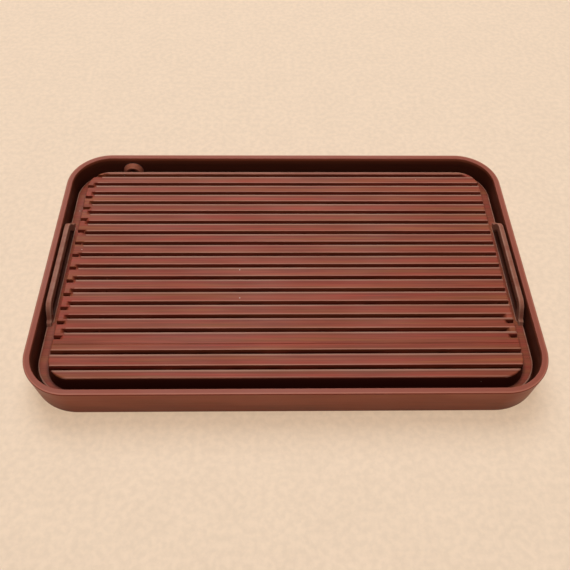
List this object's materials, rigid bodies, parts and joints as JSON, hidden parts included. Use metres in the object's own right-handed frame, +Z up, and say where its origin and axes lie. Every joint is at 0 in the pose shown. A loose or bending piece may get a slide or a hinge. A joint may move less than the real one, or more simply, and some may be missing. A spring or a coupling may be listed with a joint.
{
  "type": "tea tray",
  "caption": "Shallow rectangular tea tray with a rounded rim, a slatted lift-out drain panel with side handles, and a drain outlet with hose tail in the rear wall.",
  "frame": {"origin": "centre of the footprint, outlet included, on the surface that the feet stand on", "axes": "+X to the right along the slats, +Y towards the rear wall with the drain outlet, +Z up"},
  "size_m": [0.43, 0.288, 0.032],
  "materials": {
    "resin": "moulded red-brown resin, semi-gloss",
    "resin_panel": "moulded red-brown resin with fine lengthwise streaks, semi-gloss",
    "resin_dark": "moulded red-brown resin, turned fittings",
    "seal_rubber": "soft black rubber",
    "foot_rubber": "matt black rubber"
  },
  "bodies": {
    "tray": {"basin": "resin", "drain_spigot": "resin_dark", "ring_nut": "resin_dark", "inner_seal": "seal_rubber", "outer_seal": "seal_rubber", "foot_front_left": "foot_rubber", "foot_front_right": "foot_rubber", "foot_rear_left": "foot_rubber", "foot_rear_right": "foot_rubber"},
    "panel": {"drain_panel": "resin_panel"}
  },
  "joints": [
    {"name": "panel_lift", "type": "slide", "parent": "tray", "child": "panel", "axis": [0, 0, 1], "range_m": [0, 0.08]}
  ]
}
